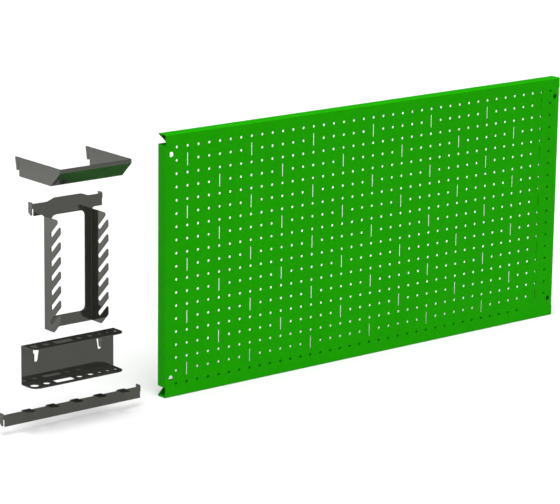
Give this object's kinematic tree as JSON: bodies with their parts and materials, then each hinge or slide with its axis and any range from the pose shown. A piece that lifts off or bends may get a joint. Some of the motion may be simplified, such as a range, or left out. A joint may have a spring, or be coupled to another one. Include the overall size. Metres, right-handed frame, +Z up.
{
  "type": "pegboard tool wall",
  "caption": "Perforated steel wall panel with folded edges and a set of hook-in sheet-steel holders: shelf bracket, wrench holder, screwdriver holder and hook rail.",
  "frame": {"origin": "centre of the four fixing holes of the panel, in the plane of its front face", "axes": "+X along the wall to the viewer's right, +Y into the wall, +Z up"},
  "size_m": [1.3687, 0.165, 0.5025],
  "materials": {
    "green_powder_coat": "semi-gloss powder coat",
    "grey_powder_coat": "semi-gloss powder coat"
  },
  "bodies": {
    "panel": {"panel": "green_powder_coat"},
    "shelf_bracket": {"shelf_bracket": "grey_powder_coat"},
    "wrench_holder": {"wrench_holder": "grey_powder_coat"},
    "screwdriver_holder": {"screwdriver_holder": "grey_powder_coat"},
    "hook_rail": {"hook_rail": "grey_powder_coat"}
  },
  "joints": [
    {"name": "shelf_bracket_slide", "type": "slide", "parent": "panel", "child": "shelf_bracket", "axis": [0.9943, 0, -0.1069], "range_m": [0, 0.38118]},
    {"name": "wrench_holder_slide", "type": "slide", "parent": "panel", "child": "wrench_holder", "axis": [0.9999, 0, -0.0123], "range_m": [0, 0.42753]},
    {"name": "screwdriver_holder_slide", "type": "slide", "parent": "panel", "child": "screwdriver_holder", "axis": [0.9996, 0, 0.0275], "range_m": [0, 0.35463]},
    {"name": "hook_rail_slide", "type": "slide", "parent": "panel", "child": "hook_rail", "axis": [0.9988, 0, 0.0484], "range_m": [0, 0.41849]}
  ]
}
